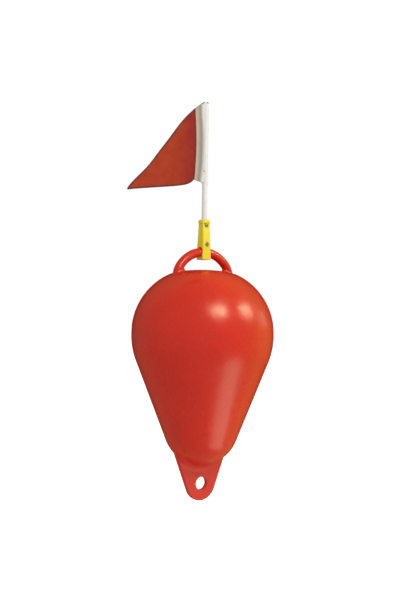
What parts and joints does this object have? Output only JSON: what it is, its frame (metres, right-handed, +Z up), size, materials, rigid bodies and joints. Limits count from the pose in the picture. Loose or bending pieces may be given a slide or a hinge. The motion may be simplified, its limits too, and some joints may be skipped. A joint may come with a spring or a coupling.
{
  "type": "mooring buoy with flag mast",
  "caption": "Pear-shaped plastic mooring buoy with an arched carry handle, a lug with an eye under its cone, and a clip that clamps a tilting mast with a red pennant.",
  "frame": {"origin": "on the float's axis at its widest ring, which is where it floats", "axes": "+Z up along the float's axis, X along the handle and the flag, which flies towards -X, front towards -Y"},
  "size_m": [0.364, 0.32, 0.8965],
  "materials": {
    "float_red": "satin moulded",
    "handle_red": "semi-gloss",
    "clip_yellow": "semi-gloss",
    "fastener_steel": "polished",
    "mast_white": "semi-gloss",
    "sleeve_white": "coated cloth",
    "flag_red": "woven"
  },
  "bodies": {
    "buoy": {"float_shell": "float_red", "tail_lug": "float_red", "carry_handle": "handle_red"},
    "flag_mast": {"clip_front": "clip_yellow", "clip_rear": "clip_yellow", "clamp_screws": "fastener_steel", "clamp_nuts": "fastener_steel", "mast_tube": "mast_white", "mast_plug": "mast_white", "flag_sleeve": "sleeve_white", "flag_cloth": "flag_red"}
  },
  "joints": [
    {"name": "mast_tilt", "type": "hinge", "parent": "buoy", "child": "flag_mast", "pos_m": [0, 0, 0.182], "axis": [1, 0, 0], "range_deg": [-110, 110]}
  ]
}
